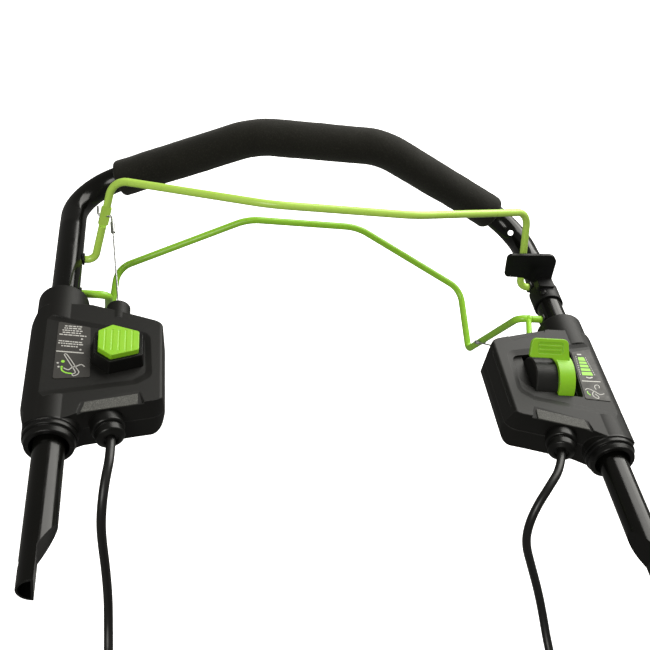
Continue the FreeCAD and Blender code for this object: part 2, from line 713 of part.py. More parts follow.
def button_carrier():
    """Plate on four legs that guides the stem and carries the return spring."""
    x, y = -BUTTON_CENTRE[0], BUTTON_CENTRE[1]
    plate = flat_prism([(x - 22, y - 23, 4), (x + 22, y - 23, 4), (x + 22, y + 23, 4), (x - 22, y + 23, 4)],
                       CARRIER_TOP - 2, CARRIER_TOP)
    floor = -TOP + size("housing_wall")
    for leg_x in (x - 18, x + 18):
        for leg_y in (y - 19, y + 19):
            plate = plate.fuse(cylinder(2.5, CARRIER_TOP - 1 - floor, (leg_x, leg_y, floor), Z_AXIS))
    hole = cylinder(STEM_R + size("running_gap"), 10, (x, y, CARRIER_TOP - 5), Z_AXIS)
    feature("start_button_carrier", plate.cut(hole).removeSplitter())


def microswitch(label, centre, plunger_from, plunger_direction):
    """Snap-action switch with its plunger and three terminals."""
    x, y, z = centre
    case = block((x - 10, x + 10), (y - 3.2, y + 3.2), (z - 5.1, z + 5.1))
    plunger = cylinder(1.1, 1.4, plunger_from, plunger_direction)
    terminals = [block((x + dx - 1.6, x + dx + 1.6), (y - 6.4, y - 3.2), (z - 0.3, z + 0.3))
                 for dx in (-7.5, 0.0, 7.5)]
    feature(label, case.fuse([plunger] + terminals).removeSplitter())


# ------------------------------------------------------------------ speed lever
PADDLE_FOOT = (0.0, -97.0, 38.0)
PADDLE_RISE = Vector(0.0, 0.618, 0.786)
PADDLE_THICKNESS = 4.0
RING_X = (200.0, 215.0)
RING_ARC = (40.0, 212.0)


def speed_lever():
    """Thumb paddle on a sector ring that is closed by a disc on its outer side."""
    outer = size("lever_ring_dia") / 2
    inner = size("drum_dia") / 2 + 0.3
    width = RING_X[1] - RING_X[0]
    centre = (RING_X[0], DRUM_Y, DRUM_Z)
    band = ring(outer, inner, width, centre, X_AXIS)
    disc = ring(outer, size("axle_dia") / 2, RING_X[1] - HUB_X[1] - 0.1,
                (HUB_X[1] + 0.1, DRUM_Y, DRUM_Z), X_AXIS)
    first, last = (math.radians(angle) for angle in RING_ARC)
    far = 60
    sector = [(0, 0, 0), (far * math.cos(first), far * math.sin(first), 0), (0, far, 0),
              (-far, far, 0), (far * math.cos(last), far * math.sin(last), 0)]
    keep = tilted_prism(sector, width + 2, (RING_X[0] - 1, DRUM_Y, DRUM_Z), Y_AXIS, Z_AXIS)
    hub_seat = cylinder(9.0, RING_X[1] - HUB_X[1] - 0.1, (HUB_X[1] + 0.1, DRUM_Y, DRUM_Z), X_AXIS)
    hub_seat = hub_seat.cut(cylinder(size("axle_dia") / 2, 10, (HUB_X[1] - 2, DRUM_Y, DRUM_Z), X_AXIS))
    body = band.fuse(disc).common(keep).fuse(hub_seat)
    back = -PADDLE_THICKNESS
    foot = Vector(*PADDLE_FOOT) + X_AXIS.cross(PADDLE_RISE) * back
    blade = [(174.0, 0.0, 2.5), (212.7, 0.0, 0.0), (210.3, 17.8, 5.5), (175.4, 17.8, 5.5)]
    arm = [(200.2, -6.0, 0.0), (212.7, -6.0, 0.0), (212.7, 2.0, 0.0), (194.0, 2.0, 0.0), (200.2, -3.6, 4.0)]
    paddle = tilted_prism(blade, PADDLE_THICKNESS, tuple(foot), X_AXIS, PADDLE_RISE)
    edge = [e for e in paddle.Edges if e.Length > 2]
    paddle = paddle.makeFillet(0.8, edge)
    paddle = paddle.fuse(tilted_prism(arm, PADDLE_THICKNESS, tuple(foot), X_AXIS, PADDLE_RISE))
    recess = [(181.5, 3.8, 2.5), (206.0, 3.8, 2.5), (206.0, 14.6, 2.5), (181.5, 14.6, 2.5)]
    face = Vector(*PADDLE_FOOT)
    sunk = face - X_AXIS.cross(PADDLE_RISE) * 0.9
    paddle = paddle.cut(tilted_prism(recess, 3.0, tuple(sunk), X_AXIS, PADDLE_RISE))
    for low in (6.6, 10.4):
        rib = [(182.6, low, 0.6), (204.9, low, 0.6), (204.9, low + 1.5, 0.6), (182.6, low + 1.5, 0.6)]
        paddle = paddle.fuse(tilted_prism(rib, 1.1, tuple(sunk - X_AXIS.cross(PADDLE_RISE) * 0.2), X_AXIS,
                                          PADDLE_RISE))
    drum = cylinder(inner, HUB_X[1] - HUB_X[0] + 0.1, (HUB_X[0], DRUM_Y, DRUM_Z), X_AXIS)
    feature("speed_lever", body.fuse(paddle).cut(drum).removeSplitter())


def speed_drum():
    """Moulded drum that closes the window and turns with the lever."""
    length = HUB_X[1] - HUB_X[0]
    centre = (HUB_X[0], DRUM_Y, DRUM_Z)
    drum = cylinder(size("drum_dia") / 2, length, centre, X_AXIS)
    drum = drum.makeChamfer(1.0, [e for e in drum.Edges if abs(e.CenterOfMass.x - HUB_X[0]) < 0.01])
    hollow = ring(size("drum_dia") / 2 - 2.5, 5.5, length, (HUB_X[0] + 2.5, DRUM_Y, DRUM_Z), X_AXIS)
    axle = cylinder(size("axle_dia") / 2, length + 2, (HUB_X[0] - 1, DRUM_Y, DRUM_Z), X_AXIS)
    feature("speed_drum", drum.cut(hollow).cut(axle))


def speed_axle():
    feature("speed_axle", cylinder(size("axle_dia") / 2, 55.4, (165.4, DRUM_Y, DRUM_Z), X_AXIS))


def potentiometer():
    """Rotary sensor on the end of the lever's axle."""
    case = cylinder(POT_R, 11.4, (156.0, DRUM_Y, DRUM_Z), X_AXIS)
    socket = cylinder(size("axle_dia") / 2 + size("running_gap"), 5, (164.0, DRUM_Y, DRUM_Z), X_AXIS)
    feature("speed_sensor", case.cut(socket))


# ------------------------------------------------------------------ bracket on the right-hand tube
PLATE_BACK = 48.8
PLATE_THICKNESS = 3.2


def bail_stop_bracket():
    """Clamp sleeve with the upright plate that the blade bail's right leg rests behind."""
    sleeve = ring(SLEEVE_R, TUBE_R, 21.0, (HALF_WIDTH, 21.0, 0), Y_AXIS)
    plate_corners = [(193.0, 15.6, 4.0), (188.4, 43.0, 5.0), (241.0, 46.8, 10.0), (244.0, 15.0, 1.0),
                     (231.0, 9.0, 1.0), (212.0, 15.8, 4.0)]
    plate = tilted_prism(plate_corners, PLATE_THICKNESS, (0, PLATE_BACK, 0), X_AXIS, Z_AXIS)
    neck = block((227.0, 244.0), (33.0, PLATE_BACK), (9.0, 17.0))
    neck = neck.makeFillet(2.0, [e for e in neck.Edges if abs(e.tangentAt(0).z) > 0.9])
    hole = cylinder(SCREW_R + 0.3, 14, tuple(BRACKET_SCREW + BRACKET_OUT * 4), -BRACKET_OUT)
    tube_space = cylinder(TUBE_R, 60, (HALF_WIDTH, 10, 0), Y_AXIS)
    bracket = sleeve.fuse([plate, neck]).cut(tube_space.fuse(hole))
    feature("bail_stop_bracket", bracket.removeSplitter())


def bracket_screw():
    head = [(0, 0, 0), (0, 2.4, 0), (1.8, 2.4, 1.2), (SCREW_HEAD_R, 0.9, 0.6), (SCREW_HEAD_R, 0, 0)]
    base = BRACKET_SCREW
    shank = cylinder(SCREW_R, 7.0, tuple(base + BRACKET_OUT * 0.5), -BRACKET_OUT)
    cap = turned(head, tuple(base + BRACKET_OUT * 0.05), BRACKET_OUT)
    feature("bracket_screw", cap.fuse(shank).removeSplitter())


# ------------------------------------------------------------------ cables
CABLE_R = size("cable_dia") / 2
FLOOR = -size("rest_plane")
COIL_BOTTOM = FLOOR + 1.3
COIL_Y = -345.0
CONNECTOR_AWAY = 40.0
CONNECTOR_DROP = 7.0
START_ROUTE = [
    (-192.0, -178.4, 4.0), (-191.8, -197.0, 4.1), (-194.8, -215.7, -2.2), (-196.2, -229.0, -14.0),
    (-196.2, -237.0, -30.5), (-194.4, -239.9, -50.0), (-190.5, -244.3, -80.0), (-187.5, -251.0, -108.0),
    (-186.3, -260.0, -125.0), (-185.3, -273.0, -138.0), (-184.4, -290.0, -145.9),
    (-184.0, -309.0, -146.2), (-184.2, -327.0, -146.2),
]
SPEED_ROUTE = [
    (192.0, -178.4, 4.0), (185.8, -197.1, 4.4), (171.4, -214.7, 0.4), (160.6, -226.6, -10.9),
    (155.7, -235.0, -27.3), (157.9, -240.0, -45.9), (171.0, -244.0, -73.0), (184.0, -250.0, -100.0),
    (192.0, -260.0, -120.0), (197.0, -274.0, -136.0), (200.0, -291.5, -145.6),
    (202.0, -311.0, -146.2), (202.0, -328.0, -146.2),
]


def cable_gland(label, side):
    """Ringed gland clipped through the front wall, with the cable's socket in its face."""
    wide = size("gland_dia") / 2
    inside, outside = GLAND_WALL
    profile = [
        (0, inside - 3.3, 0), (GLAND_NECK_R + 1.6, inside - 3.3, 0.6), (GLAND_NECK_R + 1.6, inside - 0.3, 0),
        (GLAND_NECK_R, inside - 0.3, 0), (GLAND_NECK_R, outside + 0.1, 0), (wide, outside + 0.1, 0.4),
        (wide, -9.0, 2.0), (wide - 2.8, -8.2, 0.3), (wide - 2.8, -7.0, 0.3), (wide - 1.5, -6.4, 0.8),
        (wide - 1.9, -0.6, 2.2), (wide - 6.0, 2.0, 1.0), (CABLE_R + 2.6, 2.0, 0.4), (CABLE_R + 1.8, 0, 0),
        (0, 0, 0),
    ]
    feature(label, turned(profile, tuple(cable_exit(side)), gland_axis(side)))


def cable(label, route):
    """Cable along its route; each bend is as large as the two runs beside it allow."""
    points = [Vector(*point) for point in route]
    corners = [tuple(points[0]) + (0.0,)]
    radii = []
    for before, here, after in zip(points, points[1:], points[2:]):
        shorter = min((here - before).Length, (after - here).Length)
        half_turn = (here - before).getAngle(after - here) / 2
        radii.append(0.45 * shorter / math.tan(half_turn))
        corners.append(tuple(here) + (radii[-1],))
    corners.append(tuple(points[-1]) + (0.0,))
    tube = rod(corners, CABLE_R)
    length = rounded_path(corners).Length
    print(label, "length", round(length, 1), "radii", [round(radius) for radius in radii],
          "volume ratio", round(tube.Volume / (math.pi * CABLE_R ** 2 * length), 4))
    feature(label, tube)


def cable_coil(label, end_of_route, side):
    """Outer shape of the coiled length, two turns wide and two high, and the stretch to the connector."""
    middle = size("coil_middle_dia") / 2
    pitch = size("cable_dia")
    outer_turn = middle + pitch / 2
    centre = Vector(end_of_route[0] - side * outer_turn, COIL_Y, COIL_BOTTOM)
    coil = ring(middle + pitch, middle - pitch, 2 * pitch, tuple(centre), Z_AXIS)
    leave = centre + Vector(0, -outer_turn, 1.5 * pitch)
    arrive = leave + Vector(-side * CONNECTOR_AWAY, 0, -CONNECTOR_DROP)
    tail = cylinder(CABLE_R, (arrive - leave).Length, tuple(leave), arrive - leave)
    feature(label, coil.fuse(tail).removeSplitter())
    return centre, arrive


def connector(label, rear, side):
    """Two-way plug with a locking tongue, at the far end of the cable."""
    out = X_AXIS * -side
    front = rear + out * 27
    low = FLOOR + 0.2
    body = block((rear.x, rear.x + out.x * 15), (rear.y - 6, rear.y + 6), (low, low + 12))
    nose = block((rear.x + out.x * 14, front.x), (rear.y - 5, rear.y + 5), (low + 1, low + 10.5))
    along_tongue = (rear.x + out.x * 4, rear.x + out.x * 22)
    tongue = block(along_tongue, (rear.y - 2.5, rear.y + 2.5), (low + 9, low + 13.4))
    feature(label, body.fuse([nose, tongue]).removeSplitter())


def coil_tie(label, centre, side):
    """Strap round one side of the coil."""
    middle = size("coil_middle_dia") / 2
    half = size("cable_dia") + 0.1
    x = centre.x - side * middle
    low = centre.z - 0.05
    high = centre.z + 2 * size("cable_dia") + 0.1
    strap = block((x - half - 1.1, x + half + 1.1), (COIL_Y - 2.5, COIL_Y + 2.5), (low - 1.1, high + 1.1))
    inside = block((x - half, x + half), (COIL_Y - 3, COIL_Y + 3), (low, high))
    lock = block((x - 3, x + 3), (COIL_Y - 3.4, COIL_Y + 3.4), (high + 0.2, high + 3.6))
    feature(label, strap.cut(inside).fuse(lock).removeSplitter())


# ------------------------------------------------------------------ assembly
handle_tube()
foam_grip()
bail_bushes("drive_bail_bushes", 0.0)
bail_bushes("blade_bail_bushes", BLADE_PIVOT)
blade_bail()
drive_bail()
pull_wire("start_pull_wire", EYE_ON_BLADE_BAIL, WIRE_MOUTH_START, LEFT, 36.0)
pull_wire("drive_pull_wire", EYE_ON_DRIVE_BAIL, WIRE_MOUTH_SPEED, RIGHT, 14.0)
bail_stop_bracket()
bracket_screw()

start_housing_top()
start_housing_bottom()
speed_housing_top()
speed_housing_bottom()
for control, hand in (("start", LEFT), ("speed", RIGHT)):
    housing_screws(f"{control}_housing_screws", hand)
    trim_strip(f"{control}_trim_strip", hand)
    cable_gland(f"{control}_cable_gland", hand)
label_panel("start_label_panel", START_PANEL, LEFT)
label_panel("speed_label_panel", SPEED_PANEL, RIGHT)

start_button()
button_bezel()
button_carrier()
spring_height = BUTTON_TOP - size("button_height") - CARRIER_TOP
feature("start_button_spring", helix_spring(5.6, 0.5, spring_height - 1.0, 5,
                                            (-BUTTON_CENTRE[0], BUTTON_CENTRE[1], CARRIER_TOP + 0.5)))
microswitch("start_microswitch", (-BUTTON_CENTRE[0], BUTTON_CENTRE[1], SWITCH_Z),
            (-BUTTON_CENTRE[0], BUTTON_CENTRE[1], SWITCH_Z + 5.0), Z_AXIS)
microswitch("drive_microswitch", (194.0, -57.0, SWITCH_Z), (201.5, -54.0, SWITCH_Z), Y_AXIS)

speed_drum()
speed_lever()
speed_axle()
potentiometer()

for control, hand, route in (("start", LEFT, START_ROUTE), ("speed", RIGHT, SPEED_ROUTE)):
    cable(f"{control}_cable", route)
    coil_centre, coil_end = cable_coil(f"{control}_cable_coil", route[-1], hand)
    coil_tie(f"{control}_cable_tie", coil_centre, hand)
    connector(f"{control}_cable_connector", coil_end, hand)

doc.recompute()
for item in doc.Objects:
    if "Invalid" in item.State or "Error" in item.State:
        raise RuntimeError(f"{item.Label} failed: {item.State}")
for piece in pieces:
    if piece.Shape.isNull() or not piece.Shape.isValid():
        raise RuntimeError(f"{piece.Label} has no valid shape")
    piece.Shape.exportStep(f"parts/{piece.Label}.step")
    print(f"{piece.Label}: {len(piece.Shape.Solids)} solids, {piece.Shape.Volume:.0f} mm3")
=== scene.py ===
import math
import random

import bpy
from mathutils import Matrix, Vector, noise


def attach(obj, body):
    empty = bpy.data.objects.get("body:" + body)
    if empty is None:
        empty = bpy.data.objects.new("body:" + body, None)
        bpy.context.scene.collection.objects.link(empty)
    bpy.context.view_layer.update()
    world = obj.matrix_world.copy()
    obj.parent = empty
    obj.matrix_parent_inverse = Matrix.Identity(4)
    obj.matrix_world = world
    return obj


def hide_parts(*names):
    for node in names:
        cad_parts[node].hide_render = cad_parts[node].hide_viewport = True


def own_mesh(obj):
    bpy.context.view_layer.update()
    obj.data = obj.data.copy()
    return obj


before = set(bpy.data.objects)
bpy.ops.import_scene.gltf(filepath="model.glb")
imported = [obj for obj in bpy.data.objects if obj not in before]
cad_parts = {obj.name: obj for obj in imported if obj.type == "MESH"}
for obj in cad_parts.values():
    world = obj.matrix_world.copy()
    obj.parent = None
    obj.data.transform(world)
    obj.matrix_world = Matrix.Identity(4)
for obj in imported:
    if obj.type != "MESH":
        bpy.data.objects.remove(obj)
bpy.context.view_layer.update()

MM = 0.001
PIVOT = Vector((0.0, 0.296, 0.0))       # middle of the drive bail's pivot line
FLOOR_Z = -0.1502                       # just under the coiled cables


def at(x, y, z):
    """The place, in metres, of a point given in millimetres from the drive bail's pivot line."""
    return PIVOT + Vector((x, y, z)) * MM


# ------------------------------------------------------------------ camera
def add_camera():
    """The photograph's view: from beyond the tube ends, looking down and along the handle to the grip."""
    place = (-0.1935, -0.4407, 0.6362)
    turn, tilt, roll = 0.266, 0.712, -0.229
    forward = Vector((math.sin(turn) * math.cos(tilt), math.cos(turn) * math.cos(tilt), -math.sin(tilt)))
    level = forward.cross(Vector((0, 0, 1))).normalized()
    down = forward.cross(level)
    right = level * math.cos(roll) + down * math.sin(roll)
    up = level * math.sin(roll) - down * math.cos(roll)
    data = bpy.data.cameras.new("view_camera")
    data.lens = 57.2
    data.sensor_width = 36.0
    camera = bpy.data.objects.new("view_camera", data)
    bpy.context.scene.collection.objects.link(camera)
    columns = Matrix((right, up, -forward)).transposed()
    camera.matrix_world = Matrix.Translation(place) @ columns.to_4x4()
    bpy.context.scene.camera = camera


add_camera()
bpy.context.scene.view_settings.view_transform = "Standard"


# ------------------------------------------------------------------ cables
CABLE_DIAMETER = 0.0076
COIL_Y = -345.0
LOW_TURN, HIGH_TURN = -144.9, -137.3
INNER_TURN, OUTER_TURN = 37.2, 44.8
POINTS_PER_TURN = 16
COIL_TURNS = 3.25
# The turns between which the line moves to the inner turn, up to the upper layer and back out.
MOVES_IN, RISES, MOVES_OUT = (0.72, 1.0), (1.75, 2.1), (2.1, 2.35)
# The last points, into the connector: how far out from the coil's middle and down from its top.
TAIL = [(12.0, 1.0), (26.0, 4.5), (41.5, 7.0)]
START_ROUTE = [
    (-192.0, -178.4, 4.0), (-191.8, -197.0, 4.1), (-194.8, -215.7, -2.2), (-196.2, -229.0, -14.0),
    (-196.2, -237.0, -30.5), (-194.4, -239.9, -50.0), (-190.5, -244.3, -80.0), (-187.5, -251.0, -108.0),
    (-186.3, -260.0, -125.0), (-185.3, -273.0, -138.0), (-184.4, -290.0, -145.9),
    (-184.0, -309.0, -146.2), (-184.2, -327.0, -146.2),
]
SPEED_ROUTE = [
    (192.0, -178.4, 4.0), (185.8, -197.1, 4.4), (171.4, -214.7, 0.4), (160.6, -226.6, -10.9),
    (155.7, -235.0, -27.3), (157.9, -240.0, -45.9), (171.0, -244.0, -73.0), (184.0, -250.0, -100.0),
    (192.0, -260.0, -120.0), (197.0, -274.0, -136.0), (200.0, -291.5, -145.6),
    (202.0, -311.0, -146.2), (202.0, -328.0, -146.2),
]


def eased(turns, span):
    """Goes smoothly from 0 to 1 while the turns pass through the span."""
    begin, end = span
    share = min(max((turns - begin) / (end - begin), 0.0), 1.0)
    return share * share * (3 - 2 * share)


def coil_turn(turns):
    """Radius and height after so many turns: outer and inner below, then inner and outer above."""
    inward = eased(turns, MOVES_IN) - eased(turns, MOVES_OUT)
    radius = OUTER_TURN + (INNER_TURN - OUTER_TURN) * inward
    return radius, LOW_TURN + (HIGH_TURN - LOW_TURN) * eased(turns, RISES)


def cable_points(route, side):
    """The free stretch, then the coil out of view, then the short tail into the connector."""
    points = [at(*point) for point in route]
    centre_x = route[-1][0] - side * OUTER_TURN
    swell = 1 / math.cos(math.pi / POINTS_PER_TURN)     # the spline runs inside its points by this much
    for step in range(round(COIL_TURNS * POINTS_PER_TURN) + 1):
        turns = step / POINTS_PER_TURN
        radius, height = coil_turn(turns)
        angle = 2 * math.pi * turns
        across = side * radius * swell * math.cos(angle)
        points.append(at(centre_x + across, COIL_Y - radius * swell * math.sin(angle), height))
    for away, drop in TAIL:
        points.append(at(centre_x - side * away, COIL_Y - OUTER_TURN, HIGH_TURN - drop))
    return points


def add_cable(control, route, side):
    """The whole cable of one control, in place of its two plain solids."""
    name = f"{control}_lead"
    curve = bpy.data.curves.new(name, "CURVE")
    curve.dimensions = "3D"
    spline = curve.splines.new("NURBS")
    points = cable_points(route, side)
    spline.points.add(len(points) - 1)
    for slot, point in zip(spline.points, points):
        slot.co = (*point, 1.0)
        slot.radius = CABLE_DIAMETER / 2
    spline.order_u = 3
    spline.use_endpoint_u = True
    spline.resolution_u = 10
    curve.bevel_depth = 1.0
    curve.bevel_resolution = 6
    curve.use_fill_caps = True
    cable = bpy.data.objects.new(name, curve)
    bpy.context.scene.collection.objects.link(cable)
    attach(cable, "root")
    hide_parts(f"{control}_cable", f"{control}_cable_coil")


add_cable("start", START_ROUTE, -1)
add_cable("speed", SPEED_ROUTE, 1)


# ------------------------------------------------------------------ material kit
class Surface:
    """A Principled material, whose methods add procedural detail in object coordinates.

    The sockets of a Mix node share their names, so they are taken by number: inputs 2 and 3 and output 0
    are for values, inputs 6 and 7 and output 2 for colours.
    """

    def __init__(self, name, colour, roughness, **constants):
        self.material = bpy.data.materials.new(name)
        self.material.use_nodes = True
        self.tree = self.material.node_tree
        self.shader = self.tree.nodes["Principled BSDF"]
        self.shader.inputs["Base Color"].default_value = (*colour, 1)
        self.shader.inputs["Roughness"].default_value = roughness
        for socket, value in constants.items():
            self.shader.inputs[socket.replace("_", " ")].default_value = value
        self.colour = colour
        self.last_colour = None
        self.last_normal = None
        self.coordinates = self.tree.nodes.new("ShaderNodeTexCoord").outputs["Object"]

    def node(self, kind, **settings):
        made = self.tree.nodes.new(kind)
        for name, value in settings.items():
            setattr(made, name, value)
        return made

    def link(self, output, target):
        self.tree.links.new(output, target)

    def stretched(self, factors):
        mapping = self.node("ShaderNodeMapping")
        mapping.inputs["Scale"].default_value = factors
        self.link(self.coordinates, mapping.inputs["Vector"])
        return mapping.outputs["Vector"]

    def noise(self, scale, detail, rough, stretch=None):
        made = self.node("ShaderNodeTexNoise")
        made.inputs["Scale"].default_value = scale
        made.inputs["Detail"].default_value = detail
        made.inputs["Roughness"].default_value = rough
        self.link(self.stretched(stretch) if stretch else self.coordinates, made.inputs["Vector"])
        return made.outputs["Fac"]

    def cells(self, scale):
        made = self.node("ShaderNodeTexVoronoi", feature="F1")
        made.inputs["Scale"].default_value = scale
        self.link(self.coordinates, made.inputs["Vector"])
        return made.outputs["Distance"]

    def remap(self, value, low, high, to_low=0.0, to_high=1.0):
        made = self.node("ShaderNodeMapRange")
        made.inputs["From Min"].default_value = low
        made.inputs["From Max"].default_value = high
        made.inputs["To Min"].default_value = to_low
        made.inputs["To Max"].default_value = to_high
        self.link(value, made.inputs["Value"])
        return made.outputs["Result"]

    def coordinate(self, axis):
        made = self.node("ShaderNodeSeparateXYZ")
        self.link(self.coordinates, made.inputs["Vector"])
        return made.outputs[axis]

    def tint(self, mask, colour):
        """Mixes another colour in where the mask is 1."""
        made = self.node("ShaderNodeMix", data_type="RGBA")
        self.link(mask, made.inputs["Factor"])
        if self.last_colour is None:
            made.inputs[6].default_value = (*self.colour, 1)
        else:
            self.link(self.last_colour, made.inputs[6])
        made.inputs[7].default_value = (*colour, 1)
        self.last_colour = made.outputs[2]
        self.link(self.last_colour, self.shader.inputs["Base Color"])

    def mottle(self, value, low, high, amount, colour):
        """Mixes another colour in: none of it where the value is low, and this amount where it is high."""
        self.tint(self.remap(value, low, high, 0.0, amount), colour)

    def rough(self, value, low, high, to_low, to_high):
        self.link(self.remap(value, low, high, to_low, to_high), self.shader.inputs["Roughness"])

    def bump(self, value, height, strength):
        made = self.node("ShaderNodeBump")
        made.inputs["Distance"].default_value = height
        made.inputs["Strength"].default_value = strength
        self.link(value, made.inputs["Height"])
        if self.last_normal is not None:
            self.link(self.last_normal, made.inputs["Normal"])
        self.last_normal = made.outputs["Normal"]
        self.link(self.last_normal, self.shader.inputs["Normal"])

    def rounded_normal(self, radius):
        made = self.node("ShaderNodeBevel", samples=6)
        made.inputs["Radius"].default_value = radius
        return made.outputs["Normal"]

    def soft_edges(self, radius):
        """Rounds the look of sharp edges; it comes before any bump, which then builds on it."""
        self.last_normal = self.rounded_normal(radius)
        self.link(self.last_normal, self.shader.inputs["Normal"])

    def edge_mask(self, radius, fall):
        """0 on open faces, and 1 where rounding turns the normal until its cosine falls by this much."""
        rounded = self.rounded_normal(radius)
        true_normal = self.node("ShaderNodeNewGeometry").outputs["Normal"]
        dot = self.node("ShaderNodeVectorMath", operation="DOT_PRODUCT")
        self.link(rounded, dot.inputs[0])
        self.link(true_normal, dot.inputs[1])
        return self.remap(dot.outputs["Value"], 1.0, 1.0 - fall)


def shifted(colour, gain, lift=0.0):
    """The colour times a gain, lifted evenly towards white."""
    return tuple(channel * gain + lift for channel in colour)


def dress(surface, *names):
    """Gives CAD nodes or pieces one material."""
    for name in names:
        mesh = (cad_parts.get(name) or bpy.data.objects[name]).data
        mesh.materials.clear()
        mesh.materials.append(surface.material)


# ------------------------------------------------------------------ metals
def powder_coat(name, colour, roughness):
    """Baked powder coat: orange peel, faint handling haze and specks of dust."""
    surface = Surface(name, colour, roughness, Specular_IOR_Level=0.34)
    surface.soft_edges(0.0004)
    haze = surface.noise(38.0, 5.0, 0.6)
    surface.rough(haze, 0.35, 0.7, roughness * 0.75, roughness * 1.5)
    surface.mottle(surface.noise(1500.0, 2.0, 0.5), 0.66, 0.78, 0.5, shifted(colour, 1.5, 0.03))
    surface.bump(surface.noise(420.0, 2.0, 0.45), 0.00004, 0.35)
    return surface


def bail_paint(name, colour, shade):
    """Gloss paint on bent wire: a little uneven, with small darker nibs."""
    surface = Surface(name, colour, 0.26, Specular_IOR_Level=0.5)
    surface.mottle(surface.noise(22.0, 4.0, 0.6), 0.4, 0.75, 0.45, shade)
    surface.mottle(surface.noise(900.0, 2.0, 0.5), 0.68, 0.76, 0.4, shifted(colour, 0.55))
    surface.rough(surface.noise(60.0, 4.0, 0.6), 0.3, 0.7, 0.2, 0.4)
    surface.bump(surface.noise(520.0, 2.0, 0.5), 0.00005, 0.4)
    return surface


def zinc(name):
    """Zinc-coated steel: spangle and drawn streaks."""
    surface = Surface(name, (0.56, 0.56, 0.54), 0.34, Metallic=1.0)
    surface.mottle(surface.cells(700.0), 0.1, 0.7, 1.0, (0.36, 0.37, 0.37))
    surface.rough(surface.noise(300.0, 3.0, 0.6), 0.3, 0.7, 0.24, 0.5)
    surface.bump(surface.noise(900.0, 3.0, 0.6, stretch=(1.0, 0.12, 1.0)), 0.00003, 0.5)
    return surface


dress(powder_coat("gloss_black_tube", (0.0035, 0.0035, 0.0028), 0.16), "handle_tube")
dress(powder_coat("satin_black_bracket", (0.003, 0.003, 0.003), 0.5), "bail_stop_bracket", "bracket_screw")
dress(bail_paint("light_green_paint", (0.56, 0.85, 0.13), (0.5, 0.79, 0.1)), "blade_bail")
dress(bail_paint("deep_green_paint", (0.37, 0.76, 0.05), (0.31, 0.68, 0.035)), "drive_bail")
dress(zinc("galvanised_wire"), "start_pull_wire", "drive_pull_wire")
dress(zinc("plated_screws"), "start_housing_screws", "speed_housing_screws")


# ------------------------------------------------------------------ mouldings
GRAINED_ABOVE_Y = PIVOT.y - 0.1725
SMOOTH_BELOW_Y = PIVOT.y - 0.1735


def moulded(name, colour, roughness, grain=1500.0):
    """Spark-textured moulded plastic: fine grain, faint flow marks and a painted highlight that makes the
    edges paler.
    """
    surface = Surface(name, colour, roughness, Specular_IOR_Level=0.28)
    surface.soft_edges(0.0012)
    fine = surface.noise(grain, 3.0, 0.6)
    flow = surface.noise(14.0, 4.0, 0.6)
    surface.mottle(flow, 0.35, 0.75, 0.45, shifted(colour, 1.3, 0.001))
    surface.mottle(fine, 0.58, 0.74, 0.6, shifted(colour, 1.7, 0.004))
    # Painted highlight: the rounded edges are tinted paler, as rims that catch the light.
    surface.mottle(surface.edge_mask(0.0008, 0.05), 0.0, 1.0, 0.6, shifted(colour, 2.0, 0.04))
    surface.rough(surface.noise(90.0, 4.0, 0.6), 0.3, 0.7, roughness * 0.88, roughness * 1.12)
    surface.bump(fine, 0.00005, 0.55)
    return surface


def housing_shell(name, colour):
    """Grained housing whose tube collars are smoother and glossier, as from a polished core."""
    grained_roughness, smooth_roughness = 0.5, 0.3
    surface = moulded(name, colour, grained_roughness)
    smooth = surface.remap(surface.coordinate("Y"), GRAINED_ABOVE_Y, SMOOTH_BELOW_Y)
    surface.tint(smooth, (0.006, 0.006, 0.0055))
    rough = surface.node("ShaderNodeMix", data_type="FLOAT")
    rough.inputs[2].default_value = grained_roughness
    rough.inputs[3].default_value = smooth_roughness
    surface.link(smooth, rough.inputs["Factor"])
    surface.link(rough.outputs[0], surface.shader.inputs["Roughness"])
    return surface


def speckled_trim(name):
    """Coarse sparkling grey texture of the strips on the front bevels."""
    surface = Surface(name, (0.06, 0.06, 0.054), 0.5, Specular_IOR_Level=0.35)
    surface.mottle(surface.noise(1500.0, 3.0, 0.7), 0.5, 0.62, 1.0, (0.15, 0.15, 0.138))
    surface.mottle(surface.noise(1100.0, 2.0, 0.6), 0.6, 0.7, 1.0, (0.045, 0.045, 0.042))
    surface.bump(surface.noise(1400.0, 3.0, 0.7), 0.00012, 0.8)
    return surface


def green_plastic(name):
    """Satin green moulding of the controls: uneven polish, faint scuffs and a painted highlight that makes
    the edges paler.
    """
    surface = Surface(name, (0.275, 0.62, 0.018), 0.4, Subsurface_Weight=0.06, Subsurface_Scale=0.002)
    surface.soft_edges(0.0006)
    surface.mottle(surface.noise(30.0, 4.0, 0.6), 0.4, 0.75, 0.5, (0.35, 0.67, 0.035))
    surface.mottle(surface.noise(1300.0, 2.0, 0.5), 0.66, 0.78, 0.4, (0.2, 0.48, 0.015))
    # Painted highlight: the rounded edges are tinted paler, as rims that catch the light.
    surface.mottle(surface.edge_mask(0.0009, 0.15), 0.0, 1.0, 0.35, (0.5, 0.8, 0.12))
    surface.rough(surface.noise(120.0, 4.0, 0.6), 0.3, 0.7, 0.32, 0.5)
    surface.bump(surface.noise(1600.0, 2.0, 0.5), 0.00003, 0.4)
    return surface


